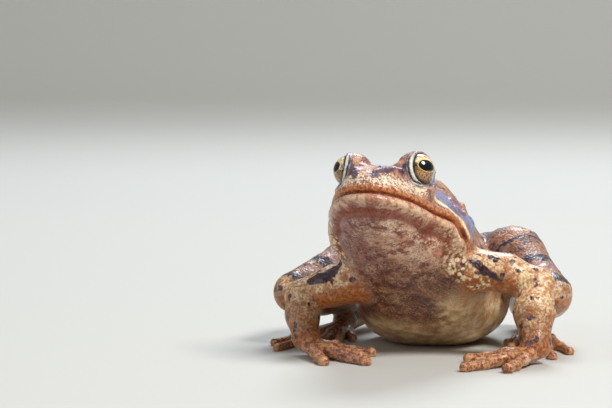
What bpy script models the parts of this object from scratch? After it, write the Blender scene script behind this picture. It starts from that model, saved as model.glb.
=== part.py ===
"""A common frog, life size, sitting upright on its haunches with its head raised.

Metres, +Z up. The frog faces -Y and its left side is +X. The origin is on the floor, under
the middle of the flat on which the belly rests. Sizes below are in millimetres.

The flesh is laid on a skeleton of joints: a loft for the trunk, a loft for the head, and for
each limb the hulls of balls set along its bones. All of it is fused into one body and cut
level at the floor. Thin cuts then part that body into its named pieces.
"""

import math

import bmesh
import bpy
from mathutils import Matrix, Vector

MM = 0.001
GAP = 0.3  # between any two pieces
LEFT, RIGHT = 1, -1
SIDES = {LEFT: "left", RIGHT: "right"}

# --- Driving sizes -----------------------------------------------------------------------

EYE_RADIUS = 3.2
EYELID = 0.95  # flesh round the eyeball
EYE_OPENING = 2.95  # radius
EARDRUM_RADIUS = 2.1
EARDRUM_THICKNESS = 1.0
WEB_THICKNESS = 0.8

SOFT_VOXEL, SOFT_STEPS = 0.55, 9  # fusing of trunk, head and muscles, blended at the creases
CRISP_VOXEL, CRISP_STEPS = 0.36, 2  # fusing of these with eyelids, fingers, toes and webs
FLESH_TRIANGLES = 4400

# Sections of the trunk from throat to vent: y, height of the widest level, half width there,
# rise from it to the back, drop from it to the belly, share of the width lost at the back.
TRUNK = (
    (-33.5, 20.0, 0.0, 0.0, 0.0, 0.3),
    (-31.0, 19.5, 7.0, 5.0, 4.0, 0.3),
    (-27.0, 18.5, 11.0, 9.5, 6.5, 0.3),
    (-23.0, 16.5, 12.2, 13.9, 8.7, 0.34),
    (-19.0, 15.0, 12.6, 16.1, 10.5, 0.38),
    (-15.0, 13.5, 13.4, 17.7, 11.3, 0.44),
    (-11.0, 12.0, 14.2, 19.3, 11.6, 0.5),
    (-7.0, 10.8, 14.8, 20.5, 11.2, 0.56),
    (-3.0, 10.0, 15.0, 20.8, 10.6, 0.58),
    (1.0, 9.3, 14.4, 19.2, 9.9, 0.58),
    (5.0, 8.7, 12.7, 16.4, 9.2, 0.58),
    (9.0, 8.0, 10.2, 12.9, 8.1, 0.58),
    (13.0, 7.2, 7.4, 9.0, 6.2, 0.5),
    (15.8, 6.6, 5.0, 5.0, 3.8, 0.4),
    (17.6, 6.4, 0.0, 0.0, 0.0, 0.4),
)
# Sections of the head from nape to snout, in its own frame: y (the snout is at -Y), then the
# same measures from the level of the mouth.
HEAD = (
    (12.0, 0.0, 8.0, 5.5, 7.0, 0.36),
    (8.0, 0.0, 11.6, 7.9, 9.5, 0.36),
    (4.0, 0.0, 13.1, 8.5, 10.3, 0.36),
    (0.0, 0.0, 12.9, 8.5, 9.6, 0.36),
    (-4.0, 0.0, 11.7, 8.3, 8.0, 0.36),
    (-8.0, 0.0, 10.3, 7.8, 6.6, 0.36),
    (-12.0, 0.1, 8.8, 6.9, 5.6, 0.32),
    (-15.5, 0.3, 7.3, 5.8, 4.9, 0.28),
    (-18.5, 0.6, 5.6, 4.6, 4.1, 0.24),
    (-20.6, 0.9, 3.6, 3.0, 2.9, 0.2),
    (-21.7, 1.0, 1.6, 1.4, 1.4, 0.2),
)
BOXINESS = 0.78  # 1 makes every section an ellipse, less squares it off

JAW_JOINT = (-2.0, -26.9, 24.3)
HEAD_YAW, HEAD_PITCH, HEAD_ROLL = -8.0, -20.0, -2.5  # degrees: turned right, raised, tilted
EYE = (6.4, -10.5, 7.4)  # left eye in the frame of the head
EYE_AXIS = (0.78, -0.60, 0.16)
EARDRUM_SIGHT = (20.0, -0.6, 5.0)  # the eardrum lies where a line from here meets the temple
EARDRUM_LINE = (-1.0, 0.0, -0.12)

# Balls along the bones: (x, y, z) of the left side, then the radius.
ARM = {
    LEFT: {
        "shoulder": ((10.5, -23.0, 15.6), 4.3),
        "biceps": ((17.0, -23.2, 15.0), 3.7),
        "elbow": ((23.3, -23.4, 13.3), 3.4),
        "forearm": ((23.3, -26.0, 9.0), 4.0),
        "wrist": ((23.6, -29.0, 3.4), 2.7),
    },
    RIGHT: {
        "shoulder": ((10.5, -23.0, 13.6), 4.2),
        "biceps": ((15.5, -23.4, 12.2), 3.5),
        "elbow": ((20.7, -24.0, 10.4), 2.9),
        "forearm": ((20.2, -25.8, 7.2), 3.0),
        "wrist": ((19.0, -28.0, 3.4), 2.4),
    },
}
HAND_HEADING = {LEFT: 226.0, RIGHT: 213.0}  # degrees from +X, fingers pointing inward
LEG = {
    LEFT: {
        "hip": ((5.5, 8.0, 13.4), 6.0),
        "thigh": ((15.2, -1.5, 15.6), 6.1),
        "knee": ((24.4, -12.6, 10.6), 3.9),
        "calf": ((22.2, -1.0, 9.2), 4.6),
        "heel": ((14.2, 19.5, 4.8), 2.6),
        "ankle": ((18.8, 4.5, 2.2), 2.1),
    },
    RIGHT: {
        "hip": ((5.5, 8.0, 13.0), 5.9),
        "thigh": ((15.4, -1.5, 13.8), 5.7),
        "knee": ((24.9, -12.6, 9.8), 3.8),
        "calf": ((22.4, -1.0, 8.8), 4.5),
        "heel": ((14.2, 19.5, 4.8), 2.6),
        "ankle": ((18.8, 4.5, 2.2), 2.1),
    },
}
# Digits: degrees from the heading of the hand or foot, length from wrist or ankle.
FINGERS = ((-40.0, 12.8), (-14.0, 12.4), (4.0, 17.4), (30.0, 13.8))
TOES = ((-34.0, 12.0), (-22.0, 17.5), (-11.0, 23.5), (0.0, 29.0), (10.0, 23.0))
FOOT_HEADING = -76.0
WEBBED = 0.66  # share of a toe's length

# --- Small tools -------------------------------------------------------------------------

bpy.data.objects.remove(bpy.data.objects["Cube"], do_unlink=True)
frog = bpy.data.collections.new("common_frog")
helpers = bpy.data.collections.new("helpers")
for collection in (frog, helpers):
    bpy.context.scene.collection.children.link(collection)


def put(name, bm, collection):
    """Turn a bmesh, in millimetres, into an object of the collection, in metres."""
    mesh = bpy.data.meshes.new(name)
    bmesh.ops.recalc_face_normals(bm, faces=bm.faces)
    bm.to_mesh(mesh)
    bm.free()
    obj = bpy.data.objects.new(name, mesh)
    collection.objects.link(obj)
    if collection is helpers:
        obj.hide_render = True
        obj.display_type = "WIRE"
    return obj


def place(point, side=LEFT):
    return Vector((point[0] * side, point[1], point[2]))


def hull(bm, *balls):
    """Add the hull of a few balls, each a centre and a radius, to the bmesh."""
    knot = bmesh.new()
    for centre, radius in balls:
        bmesh.ops.create_icosphere(
            knot, subdivisions=3, radius=radius, matrix=Matrix.Translation(centre)
        )
    wrapped = bmesh.ops.convex_hull(knot, input=knot.verts)
    inside = {v for v in wrapped["geom_interior"] + wrapped["geom_unused"]
              if isinstance(v, bmesh.types.BMVert)}
    bmesh.ops.delete(knot, geom=list(inside), context="VERTS")
    mesh = bpy.data.meshes.new("knot")
    knot.to_mesh(mesh)
    knot.free()
    bm.from_mesh(mesh)
    bpy.data.meshes.remove(mesh)


def chain(bm, balls):
    for first, second in zip(balls, balls[1:]):
        hull(bm, first, second)


def loft(bm, sections, frame, points=48):
    """Skin a row of rounded sections, each narrower at its top, and close both ends."""
    rings = []
    for y, level, half_width, rise, drop, taper in sections:
        ring = []
        for k in range(points):
            turn = 2.0 * math.pi * k / points
            across = math.copysign(abs(math.cos(turn)) ** BOXINESS, math.cos(turn))
            up = math.copysign(abs(math.sin(turn)) ** BOXINESS, math.sin(turn))
            width = half_width * across * (1.0 - taper * max(up, 0.0))
            height = level + up * (rise if up > 0.0 else drop)
            ring.append(bm.verts.new(frame @ Vector((width, y, height))))
        rings.append(ring)
    for ring, following in zip(rings, rings[1:]):
        for k in range(points):
            j = (k + 1) % points
            bm.faces.new((ring[k], ring[j], following[j], following[k]))
    bm.faces.new(rings[0])
    bm.faces.new(rings[-1])


def fuse(obj, voxel, steps):
    """Melt overlapping bodies into one and soften the creases between them."""
    remesh = obj.modifiers.new("Fuse", "REMESH")
    remesh.mode = "VOXEL"
    remesh.voxel_size = voxel
    soften = obj.modifiers.new("Soften", "SMOOTH")
    soften.factor = 0.5
    soften.iterations = steps
    return settle(obj)


def settle(obj):
    """The modified shape as a new bmesh; the object itself goes."""
    bm = bmesh.new()
    bm.from_object(obj, bpy.context.evaluated_depsgraph_get())
    bpy.data.objects.remove(obj, do_unlink=True)
    return bm


# --- Flesh -------------------------------------------------------------------------------

head_frame = (
    Matrix.Translation(JAW_JOINT)
    @ Matrix.Rotation(math.radians(HEAD_YAW), 4, "Z")
    @ Matrix.Rotation(math.radians(HEAD_PITCH), 4, "X")
    @ Matrix.Rotation(math.radians(HEAD_ROLL), 4, "Y")
)
arms = {side: {joint: (place(at, side), radius) for joint, (at, radius) in ARM[side].items()}
        for side in SIDES}
legs = {side: {joint: (place(at, side), radius) for joint, (at, radius) in LEG[side].items()}
        for side in SIDES}

soft = bmesh.new()
loft(soft, TRUNK, Matrix.Identity(4))
loft(soft, HEAD, head_frame)
for side in SIDES:
    arm, leg = arms[side], legs[side]
    chain(soft, [arm[j] for j in ("shoulder", "biceps", "elbow", "forearm", "wrist")])
    chain(soft, [leg[j] for j in ("hip", "thigh", "knee", "calf", "heel", "ankle")])
body = fuse(put("soft flesh", soft, helpers), SOFT_VOXEL, SOFT_STEPS)

eye_at = {side: head_frame @ place(EYE, side) for side in SIDES}
eye_axis = {side: (head_frame.to_3x3() @ place(EYE_AXIS, side)).normalized() for side in SIDES}
for side in SIDES:
    # Eyelids: a dome set back from the eyeball, so that the eye looks out of it.
    hull(
        body,
        (eye_at[side] - 1.1 * eye_axis[side], EYE_RADIUS + EYELID),
        (head_frame @ place((EYE[0] - 1.8, EYE[1] + 1.0, EYE[2] - 3.0), side), 3.8),
    )


def digit(bm, root, heading, length, thickness, arch):
    """A finger or toe lying on the floor; returns the points along it."""
    ahead = Vector((math.cos(math.radians(heading)), math.sin(math.radians(heading)), 0.0))
    heights = (arch, arch * 0.8, thickness * 0.8, thickness * 0.62)
    radii = (thickness * 1.25, thickness * 1.05, thickness * 0.9, thickness * 0.85)
    line = []
    for share, height, radius in zip((0.12, 0.45, 0.75, 1.0), heights, radii):
        at = Vector((root.x, root.y, 0.0)) + ahead * (length - radius) * share
        line.append((Vector((at.x, at.y, height)), radius))
    chain(bm, line)
    return line


for side in SIDES:
    wrist, wrist_radius = arms[side]["wrist"]
    inward = HAND_HEADING[LEFT] if side == LEFT else 180.0 - HAND_HEADING[RIGHT]
    palm = []
    for turn, length in FINGERS:
        line = digit(body, wrist, inward + side * turn, length, 1.05, 2.0)
        palm.append(line[0])
        hull(body, (wrist, wrist_radius), line[0])
    hull(body, (wrist, wrist_radius), *palm)

    ankle, ankle_radius = legs[side]["ankle"]
    outward = FOOT_HEADING if side == LEFT else 180.0 - FOOT_HEADING
    toes = []
    for turn, length in TOES:
        line = digit(body, ankle, outward + side * turn, length, 0.85, 1.6)
        hull(body, (ankle, ankle_radius), line[0])
        toes.append(line)
    for inner, outer in zip(toes, toes[1:]):
        edge = []
        for toe in (inner, outer):
            root, tip = toe[0][0].copy(), toe[0][0].lerp(toe[3][0], WEBBED)
            root.z = tip.z = 0.45
            edge += [(root, WEB_THICKNESS / 2), (tip, WEB_THICKNESS / 2)]
        hull(body, *edge)
flesh = fuse(put("crisp flesh", body, helpers), CRISP_VOXEL, CRISP_STEPS)


flesh = put("flesh", flesh, helpers)
fewer = flesh.modifiers.new("Fewer", "DECIMATE")
fewer.ratio = FLESH_TRIANGLES / (2 * len(flesh.data.polygons))
flesh = settle(flesh)


def keep_side(bm, point, normal):
    """Keep what lies on the side of the plane that its normal points to, and close the cut."""
    cut = bmesh.ops.bisect_plane(
        bm, geom=bm.verts[:] + bm.edges[:] + bm.faces[:], plane_co=point, plane_no=normal,
        clear_inner=True,
    )
    rim = [e for e in cut["geom_cut"] if isinstance(e, bmesh.types.BMEdge)]
    bmesh.ops.holes_fill(bm, edges=rim, sides=0)
    return bm


flesh = put("flesh", keep_side(flesh, (0.0, 0.0, 0.0), (0.0, 0.0, 1.0)), helpers)


def carve(obj, cutter):
    """Take the cutter, a closed bmesh, out of the object."""
    tool = put("cutter", cutter, helpers)
    boolean = obj.modifiers.new("Cut", "BOOLEAN")
    boolean.operation = "DIFFERENCE"
    boolean.solver = "EXACT"
    boolean.object = tool
    carved = settle(obj)
    bpy.data.objects.remove(tool, do_unlink=True)
    return put("flesh", carved, helpers)


def disc(centre, axis, radius, depth, across=None, narrow=1.0):
    """A flat round blade or plug; given a long direction across, it is an ellipse."""
    axis = Vector(axis).normalized()
    if across is None:
        across = axis.orthogonal()
    across = (Vector(across) - Vector(across).dot(axis) * axis).normalized()
    turn = Matrix((across, axis.cross(across), axis)).transposed().to_4x4()
    bm = bmesh.new()
    bmesh.ops.create_cone(
        bm, cap_ends=True, segments=32, radius1=radius, radius2=radius, depth=depth,
        matrix=Matrix.Translation(centre) @ turn @ Matrix.Diagonal((1.0, narrow, 1.0, 1.0)),
    )
    return bm


# --- Eyes and eardrums -------------------------------------------------------------------

pieces = {}
for side, word in SIDES.items():
    socket, eye = bmesh.new(), bmesh.new()
    for ball, radius in ((socket, EYE_RADIUS + GAP), (eye, EYE_RADIUS)):
        bmesh.ops.create_uvsphere(
            ball, u_segments=20, v_segments=12, radius=radius,
            matrix=Matrix.Translation(eye_at[side]),
        )
    flesh = carve(flesh, socket)
    opening = eye_at[side] + (1.1 + 2.0) * eye_axis[side]
    flesh = carve(flesh, disc(opening, eye_axis[side], EYE_OPENING, 4.0))
    pieces["eye_" + word] = eye

    turn = head_frame.to_3x3()
    struck, temple, outward, _ = flesh.ray_cast(
        head_frame @ place(EARDRUM_SIGHT, side), turn @ place(EARDRUM_LINE, side)
    )
    recess = EARDRUM_THICKNESS + GAP
    flesh = carve(flesh, disc(temple, outward, EARDRUM_RADIUS + GAP, 2 * recess))
    pieces["eardrum_" + word] = disc(
        temple - 0.5 * EARDRUM_THICKNESS * outward, outward, EARDRUM_RADIUS, EARDRUM_THICKNESS
    )

# --- Parting -----------------------------------------------------------------------------


def loose_parts(obj):
    """The separate bodies of an object, as bmeshes."""
    whole = bmesh.new()
    whole.from_mesh(obj.data)
    bpy.data.objects.remove(obj, do_unlink=True)
    bodies, seen = [], set()
    for start in whole.verts:
        if start.index in seen:
            continue
        group, edge = {start.index}, [start]
        while edge:
            for link in edge.pop().link_edges:
                for other in link.verts:
                    if other.index not in group:
                        group.add(other.index)
                        edge.append(other)
        seen |= group
        body = whole.copy()
        body.verts.ensure_lookup_table()
        rest = [v for v in body.verts if v.index not in group]
        bmesh.ops.delete(body, geom=rest, context="VERTS")
        bodies.append(body)
    whole.free()
    return bodies


def nearest(bodies, point):
    return min(bodies, key=lambda bm: min((v.co - point).length for v in bm.verts))


def split(bm, point, normal):
    """Part a body by a plane into the piece behind it and the piece ahead of it."""
    normal = Vector(normal).normalized()
    ahead = keep_side(bm.copy(), point + 0.5 * GAP * normal, normal)
    behind = keep_side(bm, point - 0.5 * GAP * normal, -normal)
    return behind, ahead


for side in SIDES:
    shoulder, biceps = arms[side]["shoulder"][0], arms[side]["biceps"][0]
    flesh = carve(flesh, disc(shoulder.lerp(biceps, 0.62), biceps - shoulder, 6.0, GAP))
    # The thigh leaves the trunk along an upright plane from the vent to the inside of the knee.
    flesh = carve(flesh, disc(
        place((10.5, 0.8, 12.0), side), place((0.854, 0.517, 0.047), side), 23.5, GAP,
        across=place((0.517, -0.854, 0.45), side), narrow=0.536,
    ))
    # The shank leaves the thigh along the crease behind the knee.
    knee, thigh, calf = (legs[side][name][0] for name in ("knee", "thigh", "calf"))
    crease = (calf.lerp(thigh, 0.42) - knee).normalized()
    flesh = carve(flesh, disc(
        knee + 11.5 * crease, calf - thigh - (calf - thigh).dot(crease) * crease, 17.0, GAP,
        across=crease, narrow=0.5,
    ))
bodies = loose_parts(flesh)

for side, word in SIDES.items():
    joint = {name: at for name, (at, radius) in (arms[side] | legs[side]).items()}
    arm = nearest(bodies, joint["elbow"])
    upper, lower = joint["elbow"] - joint["biceps"], joint["wrist"] - joint["elbow"]
    upper_arm, rest = split(arm, joint["elbow"], upper.normalized() + lower.normalized())
    heading = math.radians(HAND_HEADING[side])
    ahead = place((math.cos(heading), math.sin(heading), 0.0), side)
    forearm, hand = split(rest, joint["wrist"], lower.normalized() + ahead)
    pieces |= {"upper_arm_" + word: upper_arm, "forearm_" + word: forearm, "hand_" + word: hand}

    thigh = nearest(bodies, joint["thigh"] + place((4.0, 0.0, 5.0), side))
    leg = nearest(bodies, joint["heel"])
    shank, foot = split(leg, Vector((0.0, 0.0, 4.3)), (0.0, 0.0, -1.0))
    pieces |= {"thigh_" + word: thigh, "shank_" + word: shank, "foot_" + word: foot}

turn = head_frame.to_3x3()
whole_head = nearest(bodies, head_frame @ Vector((0.0, -22.0, 0.0)))
trunk, rest = split(
    whole_head, head_frame @ Vector((0.0, 3.5, 0.0)), turn @ Vector((0.0, -30.0, 7.0))
)
jaw, head = split(rest, head_frame.translation, turn @ Vector((0.0, 0.0, 1.0)))
pieces |= {"trunk": trunk, "jaw": jaw, "head": head}

# --- Pieces, in metres, each in a colour of its own --------------------------------------

COLOURS = {
    "eye": (0.30, 0.18, 0.05), "eardrum": (0.20, 0.10, 0.06), "head": (0.42, 0.26, 0.17),
    "jaw": (0.55, 0.34, 0.27), "trunk": (0.44, 0.28, 0.19), "upper_arm": (0.50, 0.31, 0.18),
    "forearm": (0.50, 0.30, 0.16), "hand": (0.52, 0.29, 0.17), "thigh": (0.40, 0.25, 0.18),
    "shank": (0.42, 0.25, 0.17), "foot": (0.45, 0.25, 0.17),
}
for name, bm in pieces.items():
    bmesh.ops.triangulate(bm, faces=bm.faces)
    bm.transform(Matrix.Scale(MM, 4))
    obj = put(name, bm, frog)
    kind = name.removesuffix("_left").removesuffix("_right")
    skin = bpy.data.materials.new(name)
    skin.use_nodes = True
    shader = skin.node_tree.nodes["Principled BSDF"]
    shader.inputs["Base Color"].default_value = (*COLOURS[kind], 1.0)
    shader.inputs["Roughness"].default_value = 0.1 if kind == "eye" else 0.45
    obj.data.materials.append(skin)
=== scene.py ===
import math

import bmesh
import bpy
import numpy as np
from mathutils import Matrix, Vector, kdtree


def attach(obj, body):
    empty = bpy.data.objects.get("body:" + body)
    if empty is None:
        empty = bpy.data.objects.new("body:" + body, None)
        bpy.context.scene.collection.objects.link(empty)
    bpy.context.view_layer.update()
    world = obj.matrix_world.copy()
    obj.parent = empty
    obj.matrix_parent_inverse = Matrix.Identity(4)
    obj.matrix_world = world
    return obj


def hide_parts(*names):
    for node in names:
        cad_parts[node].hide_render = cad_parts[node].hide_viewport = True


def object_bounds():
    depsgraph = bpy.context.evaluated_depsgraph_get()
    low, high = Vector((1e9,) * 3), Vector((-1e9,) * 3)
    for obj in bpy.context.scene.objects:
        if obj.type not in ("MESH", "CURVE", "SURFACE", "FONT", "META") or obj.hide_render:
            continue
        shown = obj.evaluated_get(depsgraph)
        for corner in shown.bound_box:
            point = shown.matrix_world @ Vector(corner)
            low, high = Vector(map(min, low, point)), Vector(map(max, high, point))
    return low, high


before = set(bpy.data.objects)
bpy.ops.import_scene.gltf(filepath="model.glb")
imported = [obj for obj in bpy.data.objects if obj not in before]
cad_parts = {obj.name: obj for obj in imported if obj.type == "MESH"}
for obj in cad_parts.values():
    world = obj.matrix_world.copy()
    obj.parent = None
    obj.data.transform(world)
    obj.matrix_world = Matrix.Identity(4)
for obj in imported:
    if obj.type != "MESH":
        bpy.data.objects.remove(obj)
cad_low, cad_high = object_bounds()


def placed(name, data):
    """A new object in the scene."""
    thing = bpy.data.objects.new(name, data)
    bpy.context.scene.collection.objects.link(thing)
    return thing


def turned(name, profile, spokes):
    """A mesh turned about Z from rows of (radius, height); a radius of 0 makes one point."""
    rows, rings = [], []
    for radius, height in profile:
        count = spokes if radius else 1
        rings.append([len(rows) + j % count for j in range(spokes + 1)])
        turns = [math.tau * j / spokes for j in range(count)]
        rows += [(radius * math.cos(turn), radius * math.sin(turn), height) for turn in turns]
    faces = [tuple(dict.fromkeys((one[j], two[j], two[j + 1], one[j + 1])))
             for one, two in zip(rings, rings[1:]) for j in range(spokes)]
    mesh = bpy.data.meshes.new(name)
    mesh.from_pydata(rows, [], faces)
    mesh.shade_smooth()
    return mesh


# --- Camera ---
# A long lens half a metre in front of the frog, a little to its left and barely above it,
# so that it looks up at the raised chin.
CAMERA_AZIMUTH, CAMERA_ELEVATION = math.radians(13.0), math.radians(4.5)
CAMERA_DISTANCE, FOCAL_LENGTH = 0.480, 150.0
CHEST = Vector((0.0, -0.010, 0.0))
FRAME_LEFT, FRAME_UP = 0.0226, 0.0267
rightward = Vector((math.cos(CAMERA_AZIMUTH), math.sin(CAMERA_AZIMUTH), 0.0))
level_sight = Vector((-rightward.y, rightward.x, 0.0))
sight = level_sight * math.cos(CAMERA_ELEVATION) - Vector((0.0, 0.0, math.sin(CAMERA_ELEVATION)))
upward = rightward.cross(sight)
lens = bpy.data.cameras.new("camera")
lens.lens, lens.sensor_width = FOCAL_LENGTH, 36.0
lens.clip_start, lens.clip_end = 0.01, 20.0
camera = placed("camera", lens)
aim = CHEST - FRAME_LEFT * rightward + FRAME_UP * upward
camera.matrix_world = (Matrix.Translation(aim - CAMERA_DISTANCE * sight)
                       @ Matrix((rightward, upward, -sight)).transposed().to_4x4())
bpy.context.scene.camera = camera

# --- Tools for materials ---
# Colours and masks are mixed by arithmetic on the sockets of shader nodes: every operator
# becomes a Math node, whichever side of it the socket stands on.
class Tone:
    """One socket of a material; arithmetic on it adds Math nodes."""

    def __init__(self, paint, socket):
        self.paint, self.socket = paint, socket

    def reckon(self, operation, *values):
        return self.paint.node("ShaderNodeMath", {"operation": operation}, *values)

    def __abs__(self): return self.reckon("ABSOLUTE", self)
    def most(self, other): return self.reckon("MAXIMUM", self, other)
    def least(self, other): return self.reckon("MINIMUM", self, other)
    def root(self): return self.reckon("SQRT", self)
    def wave(self): return self.reckon("SINE", self)


for sign, operation in (("add", "ADD"), ("sub", "SUBTRACT"), ("mul", "MULTIPLY"),
                        ("truediv", "DIVIDE"), ("pow", "POWER")):
    setattr(Tone, f"__{sign}__", lambda a, b, kind=operation: a.reckon(kind, a, b))
    setattr(Tone, f"__r{sign}__", lambda a, b, kind=operation: a.reckon(kind, b, a))


def linear(shade):
    """A 0-255 display value as the linear one that shaders take."""
    return shade / 255.0 / 12.92 if shade <= 10 else ((shade / 255.0 + 0.055) / 1.055) ** 2.4


class Paint:
    """A material being mixed, on one Principled shader. Colours are 0-255 display values."""

    def __init__(self, name):
        self.material = bpy.data.materials.new(name)
        self.material.use_nodes = True
        self.nodes = self.material.node_tree.nodes
        self.links = self.material.node_tree.links
        self.shader = self.nodes["Principled BSDF"]

    def node(self, kind, settings=None, *values, output=0, **named):
        """Add a node: its settings first, then its sockets in order or by name."""
        node = self.nodes.new(kind)
        for key, value in (settings or {}).items():
            setattr(node, key, value)
        sockets = [s for s in node.inputs if s.enabled]
        by_name = {s.name: s for s in reversed(sockets)}
        chosen = list(zip(sockets, values))
        chosen += [(by_name[key.replace("_", " ")], value) for key, value in named.items()]
        for socket, value in chosen:
            self.feed(socket, value)
        outputs = [s for s in node.outputs if s.enabled]
        return Tone(self, outputs[output])

    def feed(self, socket, value):
        if isinstance(value, Tone):
            self.links.new(value.socket, socket)
        elif socket.type == "RGBA":
            socket.default_value = (*map(linear, value), 1.0)
        else:
            socket.default_value = value

    def mix(self, share, under, over):
        """Colour over laid on colour under where share is 1."""
        return self.node("ShaderNodeMix", {"data_type": "RGBA"}, share, under, over)

    def step(self, value, start, end):
        """0 at start, 1 at end, smooth between them."""
        return self.node("ShaderNodeMapRange", {"interpolation_type": "SMOOTHSTEP"},
                         value, start, end, 0.0, 1.0)

    def fall(self, value, start, end):
        """1 at start, 0 at end."""
        return 1.0 - self.step(value, start, end)

    def blend(self, value, start, end, first, second):
        """The first colour up to start, the second from end on."""
        return self.mix(self.step(value, start, end), first, second)

    def finish(self, **sockets):
        """Set or feed the shader's own sockets."""
        for key, value in sockets.items():
            self.feed(self.shader.inputs[key.replace("_", " ")], value)
        return self.material


# --- Floor and light ---
# A pale matt board that sweeps up into a wall all round, so that it shows no horizon. A soft
# lamp hangs above and to the right, with weaker ones on the left, behind the frog for the
# wet edges of its skin, and towards the far wall.
FLOOR_FLAT, FLOOR_SWEEP, WALL_TOP, FLOOR_TOP = 1.3, 0.9, 1.5, -2e-5
FLOOR_SPOKES, SWEEP_STEPS = 96, 16
sweep = [math.pi / 2 * i / SWEEP_STEPS for i in range(SWEEP_STEPS + 1)]
floor = placed("floor", turned("floor", [(0.0, FLOOR_TOP)] + [
    (FLOOR_FLAT + FLOOR_SWEEP * math.sin(turn), FLOOR_TOP + FLOOR_SWEEP * (1.0 - math.cos(turn)))
    for turn in sweep] + [(FLOOR_FLAT + FLOOR_SWEEP, WALL_TOP)], FLOOR_SPOKES))
floor.data.materials.append(Paint("floor").finish(Base_Color=(196, 195, 190), Roughness=0.75))


def softbox(name, place, aim, size, power, tint):
    light = bpy.data.lights.new(name, "AREA")
    light.shape, light.size, light.energy, light.color = "DISK", size, power, tint
    lamp = placed(name, light)
    lamp.location = place
    lamp.rotation_euler = (Vector(place) - Vector(aim)).to_track_quat("Z", "Y").to_euler()


FROG, WALL = (0.0, -0.02, 0.02), (0.0, 2.2, 0.5)
softbox("key", (0.50, -0.32, 0.72), FROG, 0.34, 7.9, (1.0, 0.98, 0.94))
softbox("rim", (-0.05, 0.55, 0.60), FROG, 0.35, 4.4, (0.86, 0.93, 1.0))
softbox("fill", (-0.62, -0.45, 0.42), FROG, 0.60, 1.5, (0.94, 0.97, 1.0))
softbox("backdrop", (0.0, 0.90, 1.15), WALL, 0.80, 9.0, (1.0, 1.0, 1.0))
room = bpy.data.worlds.new("room")
room.use_nodes = True
background = room.node_tree.nodes["Background"].inputs
background["Color"].default_value = (0.80, 0.83, 0.86, 1.0)
background["Strength"].default_value = 0.34
bpy.context.scene.world = room
bpy.context.scene.view_settings.view_transform = "Standard"

# --- Skin: the sculpted form ---
# The animal's whole outside, cast in one piece. It is sculpted as a field that is negative
# inside the flesh; bodies melt into each other where their fields meet. Sizes are in
# millimetres here and turned to metres when the skin is cast.
MM = 0.001
NOWHERE = 99.0
LEFT, RIGHT = 1.0, -1.0
SIDES = (LEFT, RIGHT)


def melt(a, b, reach):
    """Union of two fields, rounded where they come within reach of each other."""
    near = np.maximum(reach - np.abs(a - b), 0.0) / reach
    return np.minimum(a, b) - near * near * reach * 0.25


def carve(a, b, reach):
    """Field a without field b, with its edges rounded."""
    return -melt(-a, b, reach)


def rise(value, start, end):
    """0 at start, 1 at end, smooth between them."""
    t = np.clip((value - start) / (end - start), 0.0, 1.0)
    return t * t * (3.0 - 2.0 * t)


def bell(value, width):
    """1 at zero, falling to nothing on either side."""
    return np.exp(-(value / width) ** 2)


def length_of(vectors):
    return np.sqrt(np.einsum("ij,ij->i", vectors, vectors))


def bone(points, start, end, start_radius, end_radius):
    """Field of a limb's stretch between two balls."""
    start, end = np.asarray(start, np.float32), np.asarray(end, np.float32)
    along = end - start
    t = np.clip((points - start) @ along / (along @ along), 0.0, 1.0)
    gap = points - start - t[:, None] * along
    return length_of(gap) - (start_radius + (end_radius - start_radius) * t)


def chain(points, balls, reach):
    """Field of a row of balls with a bone between each pair."""
    field = None
    for (a, ra), (b, rb) in zip(balls, balls[1:]):
        stretch = bone(points, a, b, ra, rb)
        field = stretch if field is None else melt(field, stretch, reach)
    return field


def stroke(points, line):
    """Distance to a brush line of (x, y, z, half width), less the half width."""
    nearest = np.full(len(points), NOWHERE, np.float32)
    for a, b in zip(line, line[1:]):
        nearest = np.minimum(nearest, bone(points, a[:3], b[:3], a[3], b[3]))
    return nearest


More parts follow.
